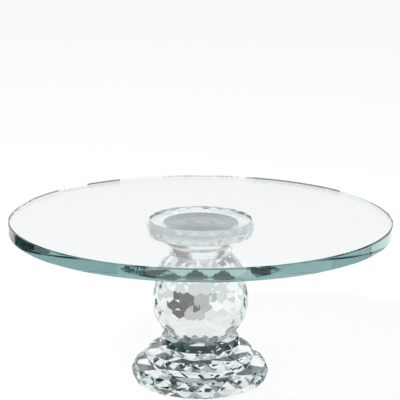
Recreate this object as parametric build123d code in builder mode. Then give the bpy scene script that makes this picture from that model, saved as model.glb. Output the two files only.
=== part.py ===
from build123d import *
import os
from math import asin, atan2, cos, degrees, pi, radians, sin

# A cake turntable in clear glass: a round plate on a faceted crystal hub that turns on a ball
# bearing swivel, on a pedestal of one faceted crystal ball and three diamond-cut discs.
# Millimetres. +Z is up along the axis of rotation, -Y is the front, and the origin is the
# centre of the footprint, on the surface that the stand rests on.

# ---- driving dimensions -------------------------------------------------------------------
plate_diameter = 300.0
plate_thickness = 10.0
plate_arris_width = 0.8  # polished at 45 degrees on both rims of the plate

facet_count = 20  # facets in one turn, on every disc and on every row of the ball
front = -90.0  # azimuth of the side that is shown first
stock_depth = 1.0  # glass left on a blank outside its finished facets

hub_rim_diameter = 81.0  # the facet-edged disc bonded under the plate
hub_girdle_diameter = 85.0
hub_thickness = 12.0

ball_diameter = 75.5  # across opposite facets
ball_flat_to_flat = 60.0  # between the flats that the bearing and the collar are bonded to
ball_rows = 7

collar_rim_diameter = 61.0
collar_girdle_diameter = 65.0
collar_thickness = 11.0

middle_rim_diameter = 83.0
middle_girdle_diameter = 87.0
middle_thickness = 11.0

base_rim_diameter = 105.0
base_girdle_diameter = 110.0
base_thickness = 12.5

# How far each piece is turned about the axis from the front, as they happen to be bonded.
hub_clocking = 3.0
ball_clocking = 1.5
collar_clocking = 0.0
middle_clocking = -2.5
base_clocking = -4.0

bond_thickness = 0.2  # cured adhesive film between two bonded faces
bond_setback = 0.8  # the film stops this far inside the smaller face

foot_count = 4
foot_diameter = 10.0
foot_height = 1.5
foot_round = 0.8
foot_inset = 9.0  # from the rim of the base to the outer edge of a foot

swivel_height = 15.0
swivel_plate_diameter = 60.0
swivel_floor = 5.0  # thickness of the lower race under the bearing
swivel_edge_round = 1.0
swivel_base_margin = 1.3  # bare ring of the ball's flat around the lower race
skirt_wall = 2.0
skirt_gap = 0.7
skirt_drop = 3.6  # how far the skirt hangs below the upper race

race_diameter = 32.0  # pitch circle of the bearing balls
steel_ball_diameter = 4.0
steel_ball_count = 16
race_gap = 1.4  # between the two races' flat faces
groove_clearance = 0.05
cage_thickness = 0.9
cage_width = 6.6
pocket_clearance = 0.15

spigot_diameter = 16.0  # hub of the lower race, inside the bore of the upper one
running_clearance = 0.05
web_thickness = 3.8  # upper race, between its groove face and the nut recess
recess_diameter = 26.0
glide_thickness = 0.7
axial_play = 0.1
washer_diameter = 24.0
washer_thickness = 1.0
bolt_diameter = 5.0
bolt_head_diameter = 10.0
bolt_end_chamfer = 0.5
bolt_end_gap = 0.2  # below the top face of the upper race
nut_across_flats = 8.0
nut_height = 2.7

# ---- heights of the stack, from the surface it rests on up to the plate ---------------------
base_z = foot_height
middle_z = base_z + base_thickness + bond_thickness
collar_z = middle_z + middle_thickness + bond_thickness
ball_z = collar_z + collar_thickness + bond_thickness
swivel_z = ball_z + ball_flat_to_flat + bond_thickness
hub_z = swivel_z + swivel_height + bond_thickness
plate_z = hub_z + hub_thickness + bond_thickness

# ---- the ball's flats -----------------------------------------------------------------------
ball_facet_radius = ball_diameter / 2
ball_centre_z = ball_z + ball_flat_to_flat / 2
flat_latitude = degrees(asin(ball_flat_to_flat / ball_diameter))
row_pitch = 2 * flat_latitude / (ball_rows + 0.5)
last_row = (ball_rows - 1) / 2 * row_pitch
flat_radius = (
    ball_facet_radius - ball_flat_to_flat / 2 * sin(radians(last_row))
) / cos(radians(last_row))

# ---- heights and radii inside the swivel ----------------------------------------------------
race_radius = race_diameter / 2
steel_ball_radius = steel_ball_diameter / 2
groove_radius = steel_ball_radius + groove_clearance
lower_face_z = swivel_z + swivel_floor
upper_face_z = lower_face_z + race_gap
steel_ball_z = (lower_face_z + upper_face_z) / 2
recess_z = upper_face_z + web_thickness
spigot_top_z = recess_z + axial_play + glide_thickness
nut_z = spigot_top_z + washer_thickness
swivel_top_z = swivel_z + swivel_height
bolt_top_z = swivel_top_z - bolt_end_gap
lower_race_radius = flat_radius - swivel_base_margin
skirt_inner_radius = lower_race_radius + skirt_gap
bolt_radius = bolt_diameter / 2
bolt_hole_radius = bolt_radius + running_clearance
bolt_head_radius = bolt_head_diameter / 2
bolt_head_height = bolt_head_radius - bolt_radius

os.makedirs("parts", exist_ok=True)


def finish(piece, name):
    """Label one finished piece and write it to its own file."""
    piece.part.label = name
    export_step(piece.part, f"parts/{name}.step")


def cut_facet(azimuth, first, second, centre_z=0.0):
    """Grind one flat through two (radius, height) points of the radial plane at an azimuth.

    The flat stands square to that radial plane, and the glass outside it is taken away.
    """
    tilt = atan2(second[0] - first[0], first[1] - second[1])
    normal = Vector(cos(tilt), 0, sin(tilt)).rotate(Axis.Z, azimuth)
    foot = Vector(first[0], 0, centre_z + first[1]).rotate(Axis.Z, azimuth)
    split(bisect_by=Plane(origin=foot, z_dir=normal), keep=Keep.BOTTOM)


def diamond_disc(bottom_z, thickness, rim_diameter, girdle_diameter, clocking):
    """Turn a disc blank and cut its edge into two bands of triangles that meet at a girdle.

    The rims and the girdle are regular polygons, turned half a facet from each other, so that
    each facet is a triangle with its base on one polygon and its point on the next.
    """
    pitch = 360 / facet_count
    narrow = cos(pi / facet_count)
    rim = rim_diameter / 2
    girdle = girdle_diameter / 2
    half = thickness / 2
    with BuildSketch(Plane.XY.offset(bottom_z)) as blank:
        Circle(girdle + stock_depth)
    extrude(blank.sketch, amount=thickness)
    for step in range(facet_count):
        under_girdle_point = front + clocking + step * pitch
        under_rim_point = under_girdle_point + pitch / 2
        for side in (1, -1):
            girdle_z = bottom_z + half
            cut_facet(under_girdle_point, *band(rim * narrow, girdle, half, side), girdle_z)
            cut_facet(under_rim_point, *band(rim, girdle * narrow, half, side), girdle_z)


def band(rim_radius, girdle_radius, half_thickness, side):
    """The two ends of a facet's centre line, upper end first, above or below the girdle."""
    rim_end = (rim_radius, side * half_thickness)
    girdle_end = (girdle_radius, 0.0)
    return (rim_end, girdle_end) if side > 0 else (girdle_end, rim_end)


def bond_film(bottom_z, outer_radius, inner_radius=0.0):
    """A cured film of adhesive, drawn back from the edge of the smaller bonded face."""
    with BuildSketch(Plane.XY.offset(bottom_z)) as film:
        Circle(outer_radius - bond_setback)
        if inner_radius:
            Circle(inner_radius + bond_setback, mode=Mode.SUBTRACT)
    extrude(film.sketch, amount=bond_thickness)


# ==== turntable: everything that turns with the plate =========================================

# Round plate of clear float glass, its two rims broken by a polished arris.
with BuildPart() as glass_plate:
    with BuildSketch(Plane.XY.offset(plate_z)):
        Circle(plate_diameter / 2)
    extrude(amount=plate_thickness)
    chamfer(glass_plate.edges().filter_by(GeomType.CIRCLE), length=plate_arris_width)
finish(glass_plate, "glass_plate")

# Clear film that bonds the plate to the hub disc.
with BuildPart() as plate_bond:
    bond_film(hub_z + hub_thickness, hub_rim_diameter / 2)
finish(plate_bond, "plate_bond")

# Diamond-cut crystal disc under the plate, the hub that the swivel carries.
with BuildPart() as hub_disc:
    diamond_disc(hub_z, hub_thickness, hub_rim_diameter, hub_girdle_diameter, hub_clocking)
finish(hub_disc, "hub_disc")

# Ring of adhesive between the swivel's upper race and the hub disc.
with BuildPart() as swivel_top_bond:
    bond_film(swivel_top_z, swivel_plate_diameter / 2, recess_diameter / 2)
finish(swivel_top_bond, "swivel_top_bond")

# Upper race, turned from aluminium: a grooved web round the spigot, a nut recess above it and
# a skirt that hangs over the lower race and keeps dust and crumbs off the bearing.
with BuildPart() as upper_race:
    with BuildSketch(Plane.XZ):
        with BuildLine():
            Polyline(
                (spigot_diameter / 2 + running_clearance, upper_face_z),
                (skirt_inner_radius, upper_face_z),
                (skirt_inner_radius, upper_face_z - skirt_drop),
                (skirt_inner_radius + skirt_wall, upper_face_z - skirt_drop),
                (skirt_inner_radius + skirt_wall, upper_face_z),
                (swivel_plate_diameter / 2, recess_z),
                (swivel_plate_diameter / 2, swivel_top_z),
                (recess_diameter / 2, swivel_top_z),
                (recess_diameter / 2, recess_z),
                (spigot_diameter / 2 + running_clearance, recess_z),
                close=True,
            )
        make_face()
        with Locations((race_radius, steel_ball_z)):
            Circle(groove_radius, mode=Mode.SUBTRACT)
    revolve(axis=Axis.Z)
    outer_edges = upper_race.edges().filter_by(GeomType.CIRCLE).group_by(SortBy.RADIUS)[-1]
    chamfer(outer_edges.sort_by(Axis.Z)[-1], length=swivel_edge_round)
finish(upper_race, "upper_race")

# ==== bearing: the cage and balls, which follow at half the plate's speed =====================

# Moulded cage ring, one pocket for each ball.
with BuildPart() as ball_cage:
    with BuildSketch(Plane.XY.offset(steel_ball_z - cage_thickness / 2)):
        Circle(race_radius + cage_width / 2)
        Circle(race_radius - cage_width / 2, mode=Mode.SUBTRACT)
        with PolarLocations(race_radius, steel_ball_count):
            Circle(steel_ball_radius + pocket_clearance, mode=Mode.SUBTRACT)
    extrude(amount=cage_thickness)
finish(ball_cage, "ball_cage")

# Hardened steel balls, running between the two grooves.
with BuildPart() as bearing_balls:
    with Locations((0, 0, steel_ball_z)):
        with PolarLocations(race_radius, steel_ball_count):
            Sphere(steel_ball_radius)
finish(bearing_balls, "bearing_balls")

# ==== pedestal: everything that stands still ===================================================

# Lower race, turned from aluminium with its spigot, drilled and countersunk for the bolt.
with BuildPart() as lower_race:
    with BuildSketch(Plane.XZ):
        with BuildLine():
            Polyline(
                (bolt_hole_radius, swivel_z + bolt_head_height),
                (bolt_head_radius + running_clearance, swivel_z),
                (lower_race_radius, swivel_z),
                (lower_race_radius, lower_face_z),
                (spigot_diameter / 2, lower_face_z),
                (spigot_diameter / 2, spigot_top_z),
                (bolt_hole_radius, spigot_top_z),
                close=True,
            )
        make_face()
        with Locations((race_radius, steel_ball_z)):
            Circle(groove_radius, mode=Mode.SUBTRACT)
    revolve(axis=Axis.Z)
finish(lower_race, "lower_race")

# Nylon glide ring that takes the lift of the plate under the washer.
with BuildPart() as glide_ring:
    with BuildSketch(Plane.XY.offset(spigot_top_z - glide_thickness)):
        Circle(washer_diameter / 2)
        Circle(spigot_diameter / 2 + running_clearance, mode=Mode.SUBTRACT)
    extrude(amount=glide_thickness)
finish(glide_ring, "glide_ring")

# Steel washer clamped on the spigot, which holds the two races together.
with BuildPart() as retaining_washer:
    with BuildSketch(Plane.XY.offset(spigot_top_z)):
        Circle(washer_diameter / 2)
        Circle(bolt_hole_radius, mode=Mode.SUBTRACT)
    extrude(amount=washer_thickness)
finish(retaining_washer, "retaining_washer")

# Thin hexagon nut on the centre bolt.
with BuildPart() as lock_nut:
    with BuildSketch(Plane.XY.offset(nut_z)):
        RegularPolygon(nut_across_flats / 2, 6, major_radius=False)
        Circle(bolt_hole_radius, mode=Mode.SUBTRACT)
    extrude(amount=nut_height)
finish(lock_nut, "lock_nut")

# Countersunk centre bolt, its head flush with the underside of the lower race.
with BuildPart() as centre_bolt:
    with BuildSketch(Plane.XZ):
        with BuildLine():
            Polyline(
                (0, swivel_z),
                (bolt_head_radius, swivel_z),
                (bolt_radius, swivel_z + bolt_head_height),
                (bolt_radius, bolt_top_z - bolt_end_chamfer),
                (bolt_radius - bolt_end_chamfer, bolt_top_z),
                (0, bolt_top_z),
                close=True,
            )
        make_face()
    revolve(axis=Axis.Z)
finish(centre_bolt, "centre_bolt")

# Ring of adhesive between the lower race and the upper flat of the ball.
with BuildPart() as swivel_base_bond:
    bond_film(swivel_z - bond_thickness, lower_race_radius, bolt_head_radius)
finish(swivel_base_bond, "swivel_base_bond")

# Crystal ball, cut flat above and below and then faceted in staggered rows. Each facet is one
# flat ground at the same depth, so that neighbours meet in hexagons.
with BuildPart() as crystal_ball:
    with Locations((0, 0, ball_centre_z)):
        Sphere(ball_facet_radius + stock_depth)
    split(bisect_by=Plane.XY.offset(ball_z), keep=Keep.TOP)
    split(bisect_by=Plane.XY.offset(ball_z + ball_flat_to_flat), keep=Keep.BOTTOM)
    for row in range(ball_rows):
        latitude = (row - (ball_rows - 1) / 2) * row_pitch
        stagger = row % 2 / 2
        for step in range(facet_count):
            azimuth = front + ball_clocking + (step + stagger) * 360 / facet_count
            touch = Vector(ball_facet_radius, 0, 0).rotate(Axis.Y, -latitude)
            touch = touch.rotate(Axis.Z, azimuth)
            facet = Plane(origin=touch + Vector(0, 0, ball_centre_z), z_dir=touch)
            split(bisect_by=facet, keep=Keep.BOTTOM)
finish(crystal_ball, "crystal_ball")

# Clear film under the ball.
with BuildPart() as ball_bond:
    bond_film(collar_z + collar_thickness, flat_radius)
finish(ball_bond, "ball_bond")

# Smallest disc of the foot, the collar that the ball sits on.
with BuildPart() as collar_disc:
    diamond_disc(
        collar_z, collar_thickness, collar_rim_diameter, collar_girdle_diameter, collar_clocking
    )
finish(collar_disc, "collar_disc")

# Clear film between the collar and the middle disc.
with BuildPart() as collar_bond:
    bond_film(middle_z + middle_thickness, collar_rim_diameter / 2)
finish(collar_bond, "collar_bond")

# Middle disc of the foot.
with BuildPart() as middle_disc:
    diamond_disc(
        middle_z, middle_thickness, middle_rim_diameter, middle_girdle_diameter, middle_clocking
    )
finish(middle_disc, "middle_disc")

# Clear film between the middle and the base disc.
with BuildPart() as middle_bond:
    bond_film(base_z + base_thickness, middle_rim_diameter / 2)
finish(middle_bond, "middle_bond")

# Base disc, the widest of the three.
with BuildPart() as base_disc:
    diamond_disc(base_z, base_thickness, base_rim_diameter, base_girdle_diameter, base_clocking)
finish(base_disc, "base_disc")

# Clear silicone bumpers stuck under the base, rounded at the bottom.
foot_circle_radius = base_rim_diameter / 2 - foot_inset - foot_diameter / 2
with BuildPart() as foot_bumpers:
    with BuildSketch():
        with PolarLocations(foot_circle_radius, foot_count, start_angle=180 / foot_count):
            Circle(foot_diameter / 2)
    extrude(amount=foot_height)
    fillet(foot_bumpers.faces().sort_by(Axis.Z)[:foot_count].edges(), radius=foot_round)
finish(foot_bumpers, "foot_bumpers")
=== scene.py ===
import bpy
from math import atan2, cos, hypot, pi, radians, sin
from mathutils import Matrix, Vector


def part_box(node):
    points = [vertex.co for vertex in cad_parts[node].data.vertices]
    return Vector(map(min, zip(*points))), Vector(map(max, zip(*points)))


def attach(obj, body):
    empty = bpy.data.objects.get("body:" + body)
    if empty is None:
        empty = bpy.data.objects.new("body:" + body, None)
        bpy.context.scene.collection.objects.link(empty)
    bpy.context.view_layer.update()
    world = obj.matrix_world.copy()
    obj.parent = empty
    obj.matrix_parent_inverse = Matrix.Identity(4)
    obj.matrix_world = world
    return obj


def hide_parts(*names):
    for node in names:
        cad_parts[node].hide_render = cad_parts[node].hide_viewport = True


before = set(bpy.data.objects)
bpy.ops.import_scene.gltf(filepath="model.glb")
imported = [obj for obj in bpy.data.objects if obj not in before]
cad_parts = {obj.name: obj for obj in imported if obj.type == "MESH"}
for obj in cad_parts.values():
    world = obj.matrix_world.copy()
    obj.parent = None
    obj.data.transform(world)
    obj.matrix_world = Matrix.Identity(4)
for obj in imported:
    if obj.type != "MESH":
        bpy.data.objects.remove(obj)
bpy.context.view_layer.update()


# ---- Silicone bumpers --------------------------------------------------------------------
# Four clear silicone buttons stuck under the base disc. They are moulded, slightly matt, and
# pick up a little dust.

def node_material(name):
    """A material with an empty tree, its output, and ways to add nodes and set their inputs."""
    material = bpy.data.materials.new(name)
    material.use_nodes = True
    tree = material.node_tree
    tree.nodes.clear()
    output = tree.nodes.new("ShaderNodeOutputMaterial")
    add, plug = node_tools(tree)
    return material, output, add, plug


def node_tools(tree):
    """Two short ways to work on a node tree: add a node, and plug a value or socket into it."""

    def plug(node, key, value):
        socket = node.inputs[int(key)] if key.isdigit() else node.inputs[key]
        for source in value if isinstance(value, list) else [value]:
            if isinstance(source, bpy.types.NodeSocket):
                tree.links.new(source, socket)
            else:
                socket.default_value = source

    def add(kind, settings=None, **inputs):
        node = tree.nodes.new(kind)
        for key, value in (settings or {}).items():
            setattr(node, key, value)
        for key, value in inputs.items():
            plug(node, key.replace("_", " "), value)
        return node

    return add, plug


def dress(node_name, material):
    """Give a carried CAD node its finish."""
    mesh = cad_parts[node_name].data
    mesh.materials.clear()
    mesh.materials.append(material)


silicone, output, add, plug = node_material("clear_silicone")
place = add("ShaderNodeTexCoord").outputs["Object"]
dust = add("ShaderNodeTexNoise", Vector=place, Scale=900.0, Detail=3.0)
haze = add("ShaderNodeMapRange", Value=dust.outputs["Fac"], To_Min=0.18, To_Max=0.45)
skin = add("ShaderNodeBump", Height=dust.outputs["Fac"], Strength=0.15, Distance=0.0002)
rubber = add("ShaderNodeBsdfPrincipled", Base_Color=(0.95, 0.95, 0.95, 1), IOR=1.41)
plug(rubber, "Transmission Weight", 1.0)
plug(rubber, "Roughness", haze.outputs["Result"])
plug(rubber, "Normal", skin.outputs["Normal"])
plug(output, "Surface", rubber.outputs["BSDF"])
dress("foot_bumpers", silicone)


# ---- Crystal ball and its three discs ----------------------------------------------------
# Lead-free optical crystal, ground flat by flat and polished, then bonded face to face with a
# clear adhesive of the same refraction, so that light passes from one piece into the next.

facet_count = 20  # round each disc, and round each row of the ball
ball_rows = 7
ball_facet_radius = 0.03775  # from the ball's centre to the middle of any facet
collar_rim, collar_girdle = 0.0305, 0.0325  # radii to the corners of a disc's facets
middle_rim, middle_girdle = 0.0415, 0.0435
base_rim, base_girdle = 0.0525, 0.055
swivel_film_hole, swivel_film_reach = 0.0058, 0.0217  # the ring of adhesive under the swivel
front = radians(-90)
ball_turn = front + radians(1.5)  # each piece was bonded a little out of line with the next
middle_turn = front - radians(2.5)
base_turn = front - radians(4.0)
edge_break = 0.0003  # the fine land that polishing leaves where two facets meet
sharp_turn = radians(8)  # the least bend between two faces that polishing breaks
bond_overlap = 0.00002  # how far each solid runs into the next, so that they join as one


def number_tool(add, plug):
    """A short way to work out one number from two in a node tree."""

    def math(operation, first, second=0.0):
        node = add("ShaderNodeMath", {"operation": operation})
        plug(node, "0", first)
        plug(node, "1", second)
        return node.outputs[0]

    return math


def geometry_tree(name, sizes):
    """A geometry tree with named inputs for its sizes, and ways to add nodes to it."""
    tree = bpy.data.node_groups.new(name, "GeometryNodeTree")
    tree.interface.new_socket("Geometry", in_out="OUTPUT", socket_type="NodeSocketGeometry")
    for key, value in sizes.items():
        kind = "NodeSocketInt" if isinstance(value, int) else "NodeSocketFloat"
        tree.interface.new_socket(key, in_out="INPUT", socket_type=kind).default_value = value
    size = tree.nodes.new("NodeGroupInput").outputs
    out = tree.nodes.new("NodeGroupOutput")
    add, plug = node_tools(tree)
    return tree, size, out, add, plug, number_tool(add, plug)


def wrap_rings(add, plug, out, corners, rings):
    """Rings of corners, each given by its height, radius and turn, in their convex hull."""
    placed = []
    for height, radius, turn in rings:
        ring = add("GeometryNodeMeshCircle", Vertices=corners, Radius=radius)
        moved = add("GeometryNodeTransform", Geometry=ring.outputs[0])
        plug(moved, "Translation", add("ShaderNodeCombineXYZ", Z=height).outputs[0])
        plug(moved, "Rotation", add("ShaderNodeCombineXYZ", Z=turn).outputs[0])
        placed.append(moved.outputs[0])
    joined = add("GeometryNodeJoinGeometry", Geometry=placed)
    hull = add("GeometryNodeConvexHull", Geometry=joined.outputs[0])
    plug(out, "Geometry", hull.outputs[0])


def diamond_disc(name, bottom, top, rim, girdle, clocking):
    """A disc with two rows of triangular facets, its girdle turned half a facet."""
    sizes = {"Bottom": bottom, "Top": top, "Rim": rim, "Girdle": girdle, "Clocking": clocking}
    tree, size, out, add, plug, math = geometry_tree(name, {**sizes, "Facets": facet_count})
    middle = math("MULTIPLY", math("ADD", size["Bottom"], size["Top"]), 0.5)
    turned = math("ADD", size["Clocking"], math("DIVIDE", pi, size["Facets"]))
    rings = [
        (size["Bottom"], size["Rim"], turned),
        (middle, size["Girdle"], size["Clocking"]),
        (size["Top"], size["Rim"], turned),
    ]
    wrap_rings(add, plug, out, size["Facets"], rings)
    return tree


def faceted_ball(name, bottom, top, facet_radius, clocking):
    """One corner where each three neighbouring facets meet, found by turning the hull of the
    facets' touching points inside out: every face of that hull becomes a corner of the ball."""
    sizes = {"Bottom": bottom, "Top": top, "Facet radius": facet_radius, "Clocking": clocking}
    counts = {"Facets": facet_count, "Rows": ball_rows}
    tree, size, out, add, plug, math = geometry_tree(name, {**sizes, **counts})
    radius = size["Facet radius"]
    half = math("MULTIPLY", math("SUBTRACT", size["Top"], size["Bottom"]), 0.5)
    centre = math("MULTIPLY", math("ADD", size["Top"], size["Bottom"]), 0.5)
    flat_latitude = math("ARCSINE", math("DIVIDE", half, radius))
    pitch_count = math("ADD", size["Rows"], 0.5)
    row_pitch = math("DIVIDE", math("MULTIPLY", flat_latitude, 2.0), pitch_count)
    index = add("GeometryNodeInputIndex").outputs[0]
    row = math("FLOOR", math("DIVIDE", math("ADD", index, 0.5), size["Facets"]))
    middle_row = math("MULTIPLY", math("SUBTRACT", size["Rows"], 1.0), 0.5)
    latitude = math("MULTIPLY", math("SUBTRACT", row, middle_row), row_pitch)
    stagger = math("MULTIPLY", math("MODULO", row, 2.0), 0.5)
    step = math("DIVIDE", math("MULTIPLY", math("ADD", index, stagger), 2 * pi), size["Facets"])
    azimuth = math("ADD", step, size["Clocking"])
    level = math("MULTIPLY", radius, math("COSINE", latitude))
    touch = add("ShaderNodeCombineXYZ")
    plug(touch, "X", math("MULTIPLY", level, math("COSINE", azimuth)))
    plug(touch, "Y", math("MULTIPLY", level, math("SINE", azimuth)))
    plug(touch, "Z", math("MULTIPLY", radius, math("SINE", latitude)))
    count = math("MULTIPLY", size["Facets"], size["Rows"])
    points = add("GeometryNodePoints", Count=count, Position=touch.outputs[0])
    square = math("MULTIPLY", radius, radius)
    pole = math("DIVIDE", square, half)
    lower_pole = add("ShaderNodeCombineXYZ", Z=math("MULTIPLY", pole, -1.0))
    upper_pole = add("ShaderNodeCombineXYZ", Z=pole)
    poles = add("GeometryNodeMeshLine", {"mode": "END_POINTS"}, Count=2)
    plug(poles, "Start Location", lower_pole.outputs[0])
    plug(poles, "Offset", upper_pole.outputs[0])
    touches = add("GeometryNodeJoinGeometry", Geometry=[points.outputs[0], poles.outputs[0]])
    inner = add("GeometryNodeConvexHull", Geometry=touches.outputs[0])
    normal = add("GeometryNodeInputNormal").outputs[0]
    position = add("GeometryNodeInputPosition").outputs[0]
    depth = add("ShaderNodeVectorMath", {"operation": "DOT_PRODUCT"})
    plug(depth, "0", normal)
    plug(depth, "1", position)
    corner = add("ShaderNodeVectorMath", {"operation": "SCALE"})
    plug(corner, "0", normal)
    plug(corner, "Scale", math("DIVIDE", square, depth.outputs["Value"]))
    kept = add("GeometryNodeCaptureAttribute", {"domain": "FACE"}, Geometry=inner.outputs[0])
    kept.capture_items.new("VECTOR", "Corner")
    plug(kept, "Corner", corner.outputs[0])
    dual = add("GeometryNodeDualMesh", Mesh=kept.outputs["Geometry"])
    placed = add("GeometryNodeSetPosition", Geometry=dual.outputs[0])
    plug(placed, "Position", kept.outputs["Corner"])
    raised = add("GeometryNodeTransform", Geometry=placed.outputs[0])
    plug(raised, "Translation", add("ShaderNodeCombineXYZ", Z=centre).outputs[0])
    plug(out, "Geometry", raised.outputs[0])
    return tree


def film_ring(name, bottom, top, inner, outer):
    """A flat ring of adhesive."""
    sizes = {"Bottom": bottom, "Top": top, "Inner": inner, "Outer": outer}
    tree, size, out, add, plug, math = geometry_tree(name, {**sizes, "Segments": 96})
    depth = math("SUBTRACT", size["Top"], size["Bottom"])
    middle = math("MULTIPLY", math("ADD", size["Top"], size["Bottom"]), 0.5)
    rounds = []
    for reach, times in ((size["Outer"], 1.0), (size["Inner"], 2.0)):
        rod = add("GeometryNodeMeshCylinder", Vertices=size["Segments"], Radius=reach)
        plug(rod, "Depth", math("MULTIPLY", depth, times))
        rounds.append(rod.outputs[0])
    ring = add("GeometryNodeMeshBoolean", {"operation": "DIFFERENCE", "solver": "EXACT"})
    plug(ring, "Mesh 1", rounds[0])
    plug(ring, "Mesh 2", rounds[1])
    moved = add("GeometryNodeTransform", Geometry=ring.outputs[0])
    plug(moved, "Translation", add("ShaderNodeCombineXYZ", Z=middle).outputs[0])
    plug(out, "Geometry", moved.outputs[0])
    return tree


def finished_mesh(name, tree, material, broken_edges=False):
    """Give a tree a host, keep what it makes as the host's own plain mesh, and dress it."""
    host = bpy.data.objects.new(name, bpy.data.meshes.new(name + "_host"))
    bpy.context.scene.collection.objects.link(host)
    host.modifiers.new("shape", "NODES").node_group = tree
    if broken_edges:
        broken = host.modifiers.new("broken_edges", "BEVEL")
        broken.width = edge_break
        broken.segments = 1
        broken.limit_method = "ANGLE"
        broken.angle_limit = sharp_turn
    graph = bpy.context.evaluated_depsgraph_get()
    mesh = bpy.data.meshes.new_from_object(host.evaluated_get(graph))
    mesh.name = name
    host.modifiers.clear()
    host.data = mesh
    mesh.materials.clear()
    mesh.materials.append(material)
    return host


def realized(add, plug, out, geometry, material):
    """End a tree with its instances made real and its material set. End a tree the way
    the export needs it.
    """
    real = add("GeometryNodeRealizeInstances", Geometry=geometry)
    coated = add("GeometryNodeSetMaterial", Geometry=real.outputs[0], Material=material)
    plug(out, "Geometry", coated.outputs[0])


def bonded(name, trees, material):
    """Join solids that run into each other into one closed skin with broken edges."""
    tree, size, out, add, plug, math = geometry_tree(name, {})
    solids = [add("GeometryNodeGroup", {"node_tree": piece}).outputs[0] for piece in trees]
    union = add("GeometryNodeMeshBoolean", {"operation": "UNION", "solver": "EXACT"})
    plug(union, "Mesh 2", solids)
    realized(add, plug, out, union.outputs[0], material)
    return finished_mesh(name, tree, material, broken_edges=True)


def clear_glass(name, tint, density, smudge):
    """Polished clear glass: even colour in its depth, and a trace of handling on its skin."""
    material, output, add, plug = node_material(name)
    place = add("ShaderNodeTexCoord").outputs["Object"]
    prints = add("ShaderNodeTexNoise", Vector=place, Scale=60.0, Detail=6.0, Roughness=0.6)
    worn = add("ShaderNodeMapRange", Value=prints.outputs["Fac"], From_Min=0.55, From_Max=0.8)
    plug(worn, "To Max", smudge)
    wave = add("ShaderNodeTexNoise", Vector=place, Scale=25.0, Detail=2.0)
    flow = add("ShaderNodeBump", Height=wave.outputs["Fac"], Strength=0.02, Distance=0.001)
    glass = add("ShaderNodeBsdfPrincipled", Base_Color=(1, 1, 1, 1), IOR=1.52)
    plug(glass, "Transmission Weight", 1.0)
    plug(glass, "Roughness", worn.outputs["Result"])
    plug(glass, "Normal", flow.outputs["Normal"])
    depth = add("ShaderNodeVolumeAbsorption", Color=tint, Density=density)
    plug(output, "Surface", glass.outputs["BSDF"])
    plug(output, "Volume", depth.outputs["Volume"])
    return material


def span(node_name):
    """Lowest and highest point of a CAD node."""
    low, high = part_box(node_name)
    return low.z, high.z


base_bottom = span("base_disc")[0]
middle_bottom = span("middle_disc")[0]
collar_bottom = span("collar_disc")[0]
ball_bottom, ball_top = span("crystal_ball")
swivel_film_top = span("swivel_base_bond")[1]
crystal = clear_glass("crystal", (0.6, 0.8, 0.8, 1), 3.0, 0.01)
film_bottom, film_top = ball_top - bond_overlap, swivel_film_top + bond_overlap
collar_top = ball_bottom
middle_top = collar_bottom + bond_overlap
base_top = middle_bottom + bond_overlap
pedestal_crystal = bonded(
    "pedestal_crystal",
    [
        film_ring("swivel_film", film_bottom, film_top, swivel_film_hole, swivel_film_reach),
        faceted_ball("ball", ball_bottom - bond_overlap, ball_top, ball_facet_radius, ball_turn),
        diamond_disc("collar", collar_bottom, collar_top, collar_rim, collar_girdle, front),
        diamond_disc("middle", middle_bottom, middle_top, middle_rim, middle_girdle, middle_turn),
        diamond_disc(
            "base", base_bottom + bond_overlap, base_top, base_rim, base_girdle, base_turn
        ),
    ],
    crystal,
)
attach(pedestal_crystal, "pedestal")
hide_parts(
    "crystal_ball",
    "ball_bond",
    "collar_disc",
    "collar_bond",
    "middle_disc",
    "middle_bond",
    "base_disc",
    "swivel_base_bond",
)


# ---- Swivel ------------------------------------------------------------------------------
# Two turned aluminium races with a ring of steel balls between them, held by a countersunk
# bolt, a washer and a thin nut, and bonded to the crystal above and below.

def turned_metal(name, colour, roughness, pitch):
    """Metal from the lathe: fine rings about the axis, a little uneven in gloss."""
    material, output, add, plug = node_material(name)
    place = add("ShaderNodeTexCoord").outputs["Object"]
    rings = {"wave_type": "RINGS", "rings_direction": "Z"}
    lines = add("ShaderNodeTexWave", rings, Vector=place, Scale=pitch, Distortion=0.4)
    cloud = add("ShaderNodeTexNoise", Vector=place, Scale=120.0, Detail=4.0)
    gloss = add("ShaderNodeMapRange", Value=cloud.outputs["Fac"])
    plug(gloss, "To Min", roughness * 0.8)
    plug(gloss, "To Max", roughness * 1.3)
    grooves = add("ShaderNodeBump", Height=lines.outputs["Fac"], Strength=0.25, Distance=0.0001)
    metal = add("ShaderNodeBsdfPrincipled", Base_Color=colour, Metallic=1.0)
    plug(metal, "Roughness", gloss.outputs["Result"])
    plug(metal, "Normal", grooves.outputs["Normal"])
    plug(output, "Surface", metal.outputs["BSDF"])
    return material


aluminium = turned_metal("turned_aluminium", (0.91, 0.92, 0.93, 1), 0.2, 500.0)
steel = turned_metal("bearing_steel", (0.62, 0.63, 0.65, 1), 0.08, 900.0)
zinc = turned_metal("zinc_steel", (0.68, 0.69, 0.71, 1), 0.25, 700.0)
for race in ("upper_race", "lower_race"):
    dress(race, aluminium)
dress("bearing_balls", steel)
for fixing in ("centre_bolt", "retaining_washer", "lock_nut"):
    dress(fixing, zinc)

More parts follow.
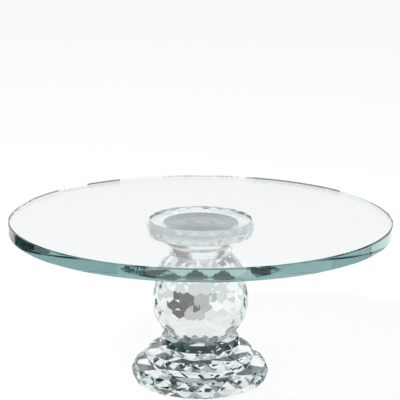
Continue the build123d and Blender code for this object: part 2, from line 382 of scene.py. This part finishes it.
nylon, output, add, plug = node_material("cage_nylon")
place = add("ShaderNodeTexCoord").outputs["Object"]
grain = add("ShaderNodeTexNoise", Vector=place, Scale=1500.0, Detail=3.0)
tone = add("ShaderNodeMix", {"data_type": "RGBA"}, Factor=grain.outputs["Fac"])
plug(tone, "6", (0.86, 0.86, 0.8, 1))
plug(tone, "7", (0.92, 0.92, 0.88, 1))
dimple = add("ShaderNodeBump", Height=grain.outputs["Fac"], Strength=0.2, Distance=0.0001)
plastic = add("ShaderNodeBsdfPrincipled", Roughness=0.5)
plug(plastic, "Base Color", tone.outputs[2])
plug(plastic, "Normal", dimple.outputs["Normal"])
plug(output, "Surface", plastic.outputs["BSDF"])
for moulding in ("ball_cage", "glide_ring"):
    dress(moulding, nylon)


# ---- Plate and hub disc ------------------------------------------------------------------
# A round of clear float glass with polished edges, greenish in its depth, bonded to the
# diamond-cut hub disc under it so that the two are one piece to the light.

plate_radius = 0.15
plate_arris = 0.0008  # the small flat that breaks each rim
hub_rim, hub_girdle = 0.0405, 0.0425
hub_turn = front + radians(3.0)
hub_film_hole, hub_film_reach = 0.0138, 0.0292  # the ring of adhesive over the swivel


def round_plate(name, bottom, top, radius, arris):
    """A round with both its rims broken by a small flat."""
    sizes = {"Bottom": bottom, "Top": top, "Radius": radius, "Arris": arris}
    tree, size, out, add, plug, math = geometry_tree(name, {**sizes, "Segments": 256})
    inner = math("SUBTRACT", size["Radius"], size["Arris"])
    rings = [
        (size["Bottom"], inner, 0.0),
        (math("ADD", size["Bottom"], size["Arris"]), size["Radius"], 0.0),
        (math("SUBTRACT", size["Top"], size["Arris"]), size["Radius"], 0.0),
        (size["Top"], inner, 0.0),
    ]
    wrap_rings(add, plug, out, size["Segments"], rings)
    return tree


hub_bottom = span("hub_disc")[0]
hub_film_bottom = span("swivel_top_bond")[0]
plate_bottom, plate_top = span("glass_plate")
float_glass = clear_glass("float_glass", (0.2, 0.53, 0.52, 1), 6.0, 0.02)
film_bottom, film_top = hub_film_bottom - bond_overlap, hub_bottom + bond_overlap
hub_top = plate_bottom + bond_overlap
glass_top = bonded(
    "glass_top",
    [
        round_plate("plate", plate_bottom, plate_top, plate_radius, plate_arris),
        film_ring("hub_film", film_bottom, film_top, hub_film_hole, hub_film_reach),
        diamond_disc("hub", hub_bottom, hub_top, hub_rim, hub_girdle, hub_turn),
    ],
    float_glass,
)
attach(glass_top, "turntable")
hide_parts("glass_plate", "plate_bond", "hub_disc", "swivel_top_bond")


# ---- Floor and light ---------------------------------------------------------------------
# A white table under a large soft lamp, in a white room with a dark ceiling. Cards that show
# only in the glass and the metal stand round it, as a studio sets them to draw glass edges.

floor_radius, floor_height = 8.0, -0.0003  # just under the bumpers
shade_radius, shade_height = 0.29, -0.0002  # lies on the floor
head_on_limit = 0.17  # how far aside light may meet a card and still count as head-on
slant_limit = 0.5  # past this light counts as slanting


def round_sheet(name, radius, height, material):
    """A round of board that lies flat, facing up."""
    tree, size, out, add, plug, math = geometry_tree(name, {"Radius": radius, "Height": height})
    disc = add("GeometryNodeMeshCircle", {"fill_type": "NGON"}, Vertices=96)
    plug(disc, "Radius", size["Radius"])
    moved = add("GeometryNodeTransform", Geometry=disc.outputs[0])
    plug(moved, "Translation", add("ShaderNodeCombineXYZ", Z=size["Height"]).outputs[0])
    realized(add, plug, out, moved.outputs[0], material)
    return finished_mesh(name, tree, material)


def stage_card(card):
    """Keep a card out of the lens and out of the light that falls on the table."""
    card.visible_camera = False
    card.visible_diffuse = False
    card.visible_shadow = False


def glow_where(seen, glow, output, add, plug):
    """Let a card glow where it is seen, and let light pass through it elsewhere."""
    clear = add("ShaderNodeBsdfTransparent")
    card = add("ShaderNodeMixShader", Fac=seen)
    plug(card, "1", clear.outputs["BSDF"])
    plug(card, "2", glow.outputs["Emission"])
    plug(output, "Surface", card.outputs["Shader"])


def straight_card(name, size_x, size_y, centre, turn, brightness, turns, reach=0.0):
    """A flat card that glows evenly and shows only in glass and metal, once light has bounced
    this many times in them; one with a reach also shows head-on to light from that near."""
    material, output, add, plug = node_material(name)
    math = number_tool(add, plug)
    glow = add("ShaderNodeEmission", Color=(1, 1, 1, 1), Strength=brightness)
    sight = add("ShaderNodeLightPath")
    turned = math("GREATER_THAN", sight.outputs["Glossy Depth"], turns - 0.5)
    near = math("LESS_THAN", sight.outputs["Ray Length"], reach)
    aside = add("ShaderNodeLayerWeight", Blend=0.5)
    head_on = math("LESS_THAN", aside.outputs["Facing"], head_on_limit)
    seen = math("MAXIMUM", turned, math("MULTIPLY", near, head_on))
    glow_where(seen, glow, output, add, plug)
    tree, size, out, add, plug, math = geometry_tree(name, {"Width": size_x, "Height": size_y})
    sheet = add("GeometryNodeMeshGrid")
    plug(sheet, "Size X", size["Width"])
    plug(sheet, "Size Y", size["Height"])
    plug(sheet, "Vertices X", 2)
    plug(sheet, "Vertices Y", 2)
    moved = add("GeometryNodeTransform", Geometry=sheet.outputs[0])
    plug(moved, "Translation", centre)
    plug(moved, "Rotation", turn)
    realized(add, plug, out, moved.outputs[0], material)
    stage_card(finished_mesh(name, tree, material))


def looked_at(add, plug):
    """1 where the lens, glass or metal looks at a surface, and 0 where it only gives light."""
    math = number_tool(add, plug)
    sight = add("ShaderNodeLightPath")
    in_metal, in_glass = sight.outputs["Is Glossy Ray"], sight.outputs["Is Transmission Ray"]
    return math("MAXIMUM", sight.outputs["Is Camera Ray"], math("MAXIMUM", in_metal, in_glass))


table, output, add, plug = node_material("white_table")
paint_share = add("ShaderNodeMapRange", Value=looked_at(add, plug), To_Min=1.0, To_Max=0.08)
white = add("ShaderNodeEmission", Color=(1, 1, 1, 1), Strength=1.0)
paint = add("ShaderNodeBsdfDiffuse", Color=(0.95, 0.95, 0.95, 1))
top_coat = add("ShaderNodeMixShader", Fac=paint_share.outputs["Result"])
plug(top_coat, "1", white.outputs["Emission"])
plug(top_coat, "2", paint.outputs["BSDF"])
plug(output, "Surface", top_coat.outputs["Shader"])
round_sheet("floor", floor_radius, floor_height, table)

# A painted shade of the stand on the table, with painted flecks of light for those its facets
# throw:
# full under the pedestal, thin under the rest of the plate, and gone past its rim.
shade, output, add, plug = node_material("table_shade")
math = number_tool(add, plug)
place = add("ShaderNodeTexCoord").outputs["Object"]
from_axis = add("ShaderNodeVectorMath", {"operation": "LENGTH"})
plug(from_axis, "0", place)
radius = from_axis.outputs["Value"]
painted_facet_flecks = add("ShaderNodeTexVoronoi", Vector=place, Scale=60.0)
fleck = add("ShaderNodeSeparateColor", Color=painted_facet_flecks.outputs["Color"])
bright = add("ShaderNodeMapRange", Value=fleck.outputs[0], From_Min=0.45, From_Max=0.7)
half_shade = add("ShaderNodeMapRange", Value=radius, From_Min=0.1, From_Max=0.12, To_Max=0.75)
open_table = add("ShaderNodeMapRange", Value=radius, From_Min=0.2, From_Max=0.28)
inner_light = math("MAXIMUM", bright.outputs["Result"], half_shade.outputs["Result"])
light_there = math("MAXIMUM", inner_light, open_table.outputs["Result"])
painted_shade_colour = add("ShaderNodeValToRGB", Fac=light_there)
painted_shade_colour.color_ramp.elements[0].color = (0.01, 0.04, 0.043, 1)
painted_shade_colour.color_ramp.elements[1].color = (1, 1, 1, 1)
painted_shade_colour.color_ramp.elements.new(0.75).color = (0.72, 0.75, 0.75, 1)
# the sheet glows with this painted shade and these painted flecks of light; it is no lamp
glow = add("ShaderNodeEmission", Color=painted_shade_colour.outputs["Color"], Strength=1.0)

# The discs and the ball are near enough to picture it. The clear plate is too high, and pictures
# it only by light that has turned inside its edge.
disc_reach, ball_reach = 0.12, 0.24
sight = add("ShaderNodeLightPath")
turned = math("GREATER_THAN", sight.outputs["Glossy Depth"], 0.5)
from_discs = math("LESS_THAN", sight.outputs["Ray Length"], disc_reach)
from_ball = math("LESS_THAN", sight.outputs["Ray Length"], ball_reach)
aside = add("ShaderNodeLayerWeight", Blend=0.5)
slanting = math("GREATER_THAN", aside.outputs["Facing"], slant_limit)
from_stand = math("MAXIMUM", from_discs, math("MULTIPLY", from_ball, slanting))
glow_where(math("MAXIMUM", turned, from_stand), glow, output, add, plug)
stage_card(round_sheet("table_shade", shade_radius, shade_height, shade))

# Standing cards. Those behind the ball and the far ones make its grey facets, the ones at left
# and right darken the ends of the plate's edge, and the rim lights put a shine on its right end.
# name, one foot, other foot, lower edge, upper edge, brightness, turns, reach
for name, start, end, lower, upper, brightness, turns, reach in (
    ("card_behind_ball", (0.006, 0.14), (0.053, 0.14), 0.018, 0.0415, 0.17, 1, 0.135),
    ("card_behind_ball_grey", (-0.016, 0.142), (0.006, 0.142), 0.018, 0.0415, 0.5, 1, 0.135),
    ("card_far_dark", (0.20, 0.88), (0.38, 0.88), 0.0, 0.035, 0.17, 0, 0.0),
    ("card_far_grey", (-0.12, 0.88), (0.20, 0.88), 0.0, 0.035, 0.6, 0, 0.0),
    ("card_far_pale", (-0.6, 0.88), (-0.12, 0.88), 0.0, 0.035, 0.85, 0, 0.0),
    ("card_right", (0.3, -0.15), (0.32, 0.15), 0.0, 0.13, 0.02, 1, 0.0),
    ("card_right_upper", (0.3, -0.15), (0.32, 0.15), 0.13, 0.35, 0.02, 2, 0.0),
    ("card_left", (-0.3, -0.35), (-0.3, 0.15), 0.0, 0.13, 0.02, 1, 0.0),
    ("card_left_upper", (-0.3, -0.35), (-0.3, 0.15), 0.13, 0.3, 0.02, 2, 0.0),
    ("card_rim_light", (0.172, 0.13), (0.29, 0.13), 0.03, 0.12, 1.6, 0, 0.0),
    ("card_rim_light_return", (0.29, 0.13), (0.30, 0.02), 0.02, 0.12, 1.6, 0, 0.0),
):
    width = hypot(end[0] - start[0], end[1] - start[1])
    heading = atan2(end[1] - start[1], end[0] - start[0])
    centre = ((start[0] + end[0]) / 2, (start[1] + end[1]) / 2, (lower + upper) / 2)
    upright = (pi / 2, 0, heading)
    straight_card(name, width, upper - lower, centre, upright, brightness, turns, reach)

# Cards lying on the table, which the plate's edge pictures: name, left, right, front, back,
# brightness, turns
for name, left, right, front_end, back_end, brightness, turns in (
    ("card_right_foot", 0.18, 0.31, -0.15, 0.15, 0.02, 1),
    ("card_left_foot", -0.30, -0.18, -0.35, 0.15, 0.02, 1),
    ("card_right_table", 0.30, 0.85, 0.2, 0.85, 0.02, 1),
    ("card_right_table_grey", 0.24, 0.30, 0.3, 0.7, 0.3, 1),
    ("card_far_table", -1.6, 2.4, 0.93, 3.0, 0.2, 1),
):
    centre = ((left + right) / 2, (front_end + back_end) / 2, 0.0)
    straight_card(name, right - left, back_end - front_end, centre, (0, 0, 0), brightness, turns)

key_data = bpy.data.lights.new("key", "AREA")
key_data.shape = "SQUARE"
key_data.size = 0.35
key_data.energy = 84.0
key = bpy.data.objects.new("key", key_data)
bpy.context.scene.collection.objects.link(key)
key_from = Vector((-1.0, -1.0, 1.7))
key_turn = key_from.to_track_quat("Z", "Y").to_matrix().to_4x4()
key.matrix_world = Matrix.Translation(key_from) @ key_turn

# The room: bright walls, a dark ceiling, and the white of the lamp overhead. Each pair is a
# height, as the sine of the angle above the horizon, and how bright the room is there.
world = bpy.data.worlds.new("studio")
bpy.context.scene.world = world
world.use_nodes = True
world.node_tree.nodes.clear()
add, plug = node_tools(world.node_tree)
direction = add("ShaderNodeTexCoord").outputs["Generated"]
upward = add("ShaderNodeSeparateXYZ", Vector=direction)
room = add("ShaderNodeValToRGB", Fac=upward.outputs["Z"])
room.color_ramp.elements[0].color = (1, 1, 1, 1)
room.color_ramp.elements[1].color = (1, 1, 1, 1)
room.color_ramp.elements[1].position = 0.93
for height, tone in (
    (0.004, 0.85), (0.05, 0.9), (0.09, 0.95), (0.2, 0.9), (0.28, 0.9),
    (0.42, 1.0), (0.5, 0.45), (0.6, 0.05), (0.85, 0.05),
):
    room.color_ramp.elements.new(height).color = (tone, tone, tone, 1)
shown = looked_at(add, plug)
walls = add("ShaderNodeMix", {"data_type": "RGBA"}, Factor=shown)
plug(walls, "6", (1, 1, 1, 1))
plug(walls, "7", room.outputs["Color"])
level = add("ShaderNodeMapRange", Value=shown, To_Min=0.3, To_Max=1.0)
room_light = add("ShaderNodeBackground", Color=walls.outputs[2], Strength=level.outputs["Result"])
plug(add("ShaderNodeOutputWorld"), "Surface", room_light.outputs[0])

# cut crystal passes light on many times before it lets it out
light_paths = bpy.context.scene.cycles
turns_allowed = 48
light_paths.max_bounces = turns_allowed
light_paths.glossy_bounces = turns_allowed
light_paths.transmission_bounces = turns_allowed


# ---- Camera ------------------------------------------------------------------------------
# A long lens a little over a metre from the plate's middle and a little above its top, tipped
# down towards the pedestal. It leans by a third of a degree.

camera_data = bpy.data.cameras.new("camera")
camera_data.sensor_width = 36.0
camera_data.lens = 126.0
camera = bpy.data.objects.new("camera", camera_data)
bpy.context.scene.collection.objects.link(camera)
distance = 1.1
rise = radians(13.95)
pitch = radians(13.31)
roll = radians(0.3)
eye = Vector((-0.0006, -distance * cos(rise), plate_top + distance * sin(rise)))
camera.matrix_world = (
    Matrix.Translation(eye)
    @ Matrix.Rotation(pi / 2 - pitch, 4, "X")
    @ Matrix.Rotation(roll, 4, "Z")
)
bpy.context.scene.camera = camera
bpy.context.scene.view_settings.view_transform = "Standard"
